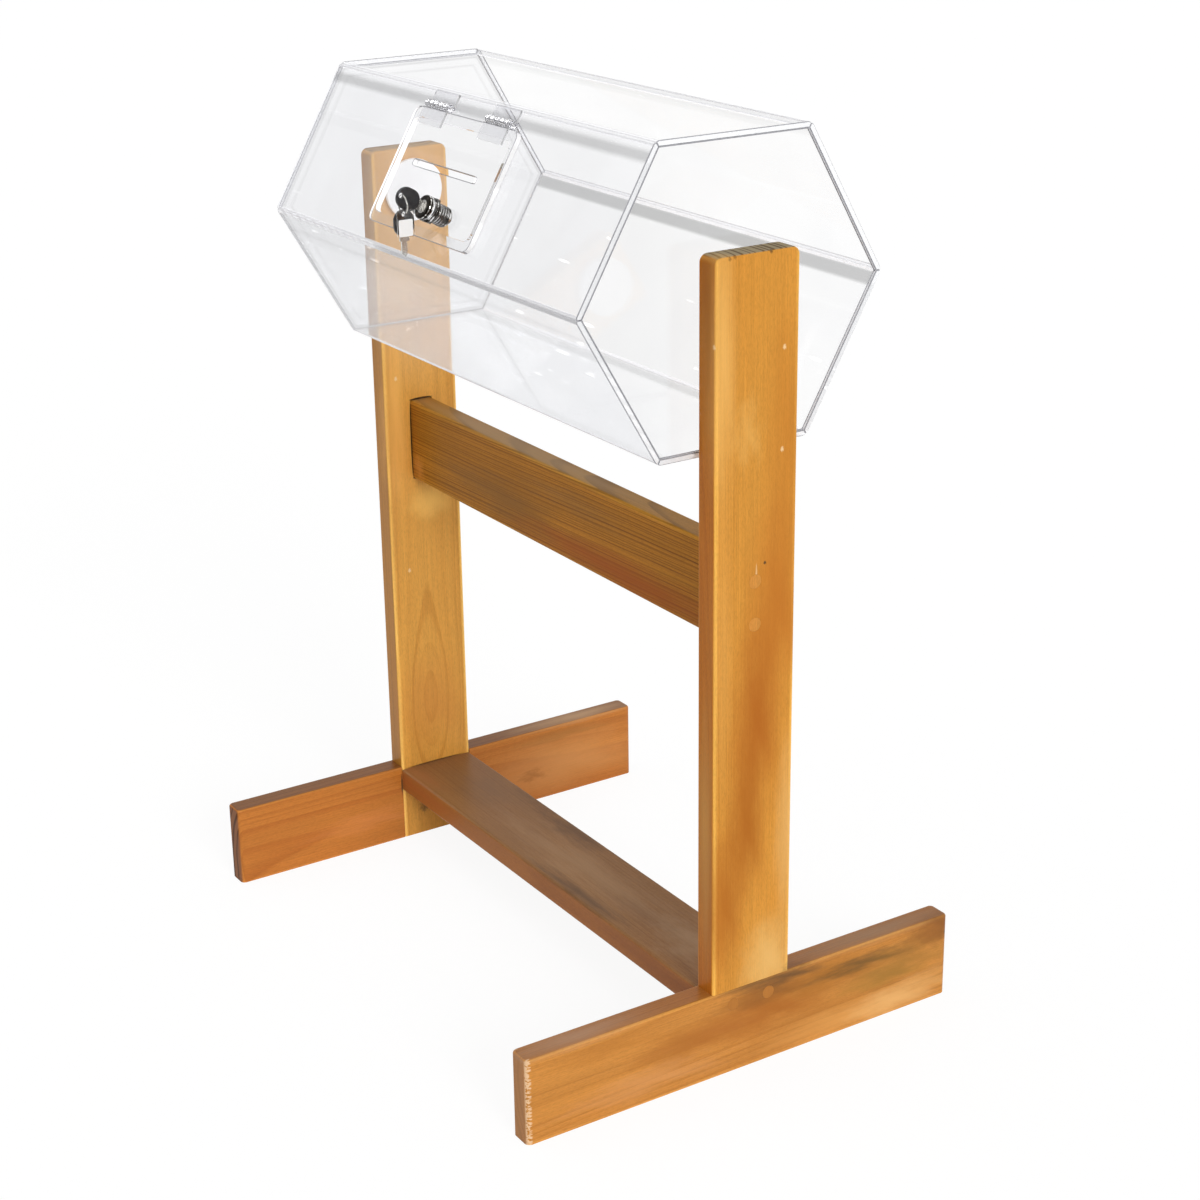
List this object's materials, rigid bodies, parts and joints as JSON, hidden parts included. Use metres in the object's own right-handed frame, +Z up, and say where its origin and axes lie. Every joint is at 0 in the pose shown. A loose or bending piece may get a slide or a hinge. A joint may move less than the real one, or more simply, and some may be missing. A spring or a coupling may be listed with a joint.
{
  "type": "raffle drum",
  "caption": "Clear six-sided drum with a slotted, locked door on one side, turned by a crank between the posts of a wooden floor stand.",
  "frame": {"origin": "on the floor, in the middle of the whole object's box, crank included", "axes": "+X along the drum's axis, away from the crank; the door faces -Y; +Z up"},
  "size_m": [0.6464, 0.479, 0.8219],
  "materials": {
    "post_pine": "satin",
    "foot_pine": "satin",
    "rail_pine": "satin",
    "stretcher_pine": "satin",
    "plug_wood": "satin",
    "screw_steel": "plated",
    "white_nylon": "matte",
    "clear_acrylic": "clear",
    "white_plastic": "gloss",
    "crank_paint": "satin",
    "knob_wood": "satin",
    "clear_hinge": "clear",
    "lock_chrome": "polished",
    "black_plastic": "gloss",
    "key_nickel": "polished",
    "white_tag": "matte"
  },
  "bodies": {
    "stand": {"left_post": "post_pine", "right_post": "post_pine", "left_foot": "foot_pine", "right_foot": "foot_pine", "upper_rail": "rail_pine", "lower_stretcher": "stretcher_pine", "screw_plugs": "plug_wood", "rail_screws": "screw_steel", "stretcher_screws": "screw_steel", "left_bush": "white_nylon", "right_bush": "white_nylon"},
    "drum": {"top_side": "clear_acrylic", "front_upper_side": "clear_acrylic", "front_lower_side": "clear_acrylic", "bottom_side": "clear_acrylic", "back_lower_side": "clear_acrylic", "back_upper_side": "clear_acrylic", "left_end": "clear_acrylic", "right_end": "clear_acrylic", "left_hub": "white_plastic", "right_hub": "white_plastic", "crank_arm": "crank_paint", "crank_washer": "screw_steel", "crank_bolt": "screw_steel", "knob_pin": "screw_steel", "left_upper_leaf": "clear_hinge", "right_upper_leaf": "clear_hinge", "left_hinge_pin": "screw_steel", "right_hinge_pin": "screw_steel"},
    "knob": {"crank_knob": "knob_wood"},
    "door": {"door_panel": "clear_acrylic", "left_lower_leaf": "clear_hinge", "right_lower_leaf": "clear_hinge", "lock_body": "lock_chrome", "lock_nut": "lock_chrome"},
    "plug": {"lock_plug": "lock_chrome", "lock_cam": "lock_chrome", "cam_screw": "lock_chrome"},
    "key": {"door_key_bow": "black_plastic", "door_key_blade": "key_nickel"},
    "ring": {"key_ring": "key_nickel"},
    "spare": {"spare_key_bow": "black_plastic", "spare_key_blade": "key_nickel"},
    "tag": {"key_tag": "white_tag"}
  },
  "joints": [
    {"name": "drum_spin", "type": "hinge", "parent": "stand", "child": "drum", "pos_m": [0.02625, -0.0085, 0.692], "axis": [1, 0, 0], "continuous": true},
    {"name": "knob_spin", "type": "hinge", "parent": "drum", "child": "knob", "pos_m": [-0.30375, -0.0085, 0.602], "axis": [1, 0, 0], "continuous": true},
    {"name": "door_hinge", "type": "hinge", "parent": "drum", "child": "door", "pos_m": [0.02625, -0.09516, 0.80901], "axis": [-1, 0, 0], "range_deg": [0, 120]},
    {"name": "lock_turn", "type": "hinge", "parent": "door", "child": "plug", "pos_m": [0.02625, -0.14449, 0.73587], "axis": [0, -0.866, 0.5], "range_deg": [0, 90]},
    {"name": "key_slide", "type": "slide", "parent": "plug", "child": "key", "axis": [0, -0.866, 0.5], "range_m": [0, 0.026]},
    {"name": "ring_swing", "type": "hinge", "parent": "key", "child": "ring", "pos_m": [0.02625, -0.16484, 0.74762], "axis": [1, 0, 0], "range_deg": [-80, 5]},
    {"name": "spare_swing", "type": "hinge", "parent": "ring", "child": "spare", "pos_m": [0.02985, -0.16484, 0.73248], "axis": [1, 0, 0], "range_deg": [-60, 5]},
    {"name": "tag_swing", "type": "hinge", "parent": "ring", "child": "tag", "pos_m": [0.03345, -0.16484, 0.73333], "axis": [1, 0, 0], "range_deg": [-60, 10]}
  ]
}
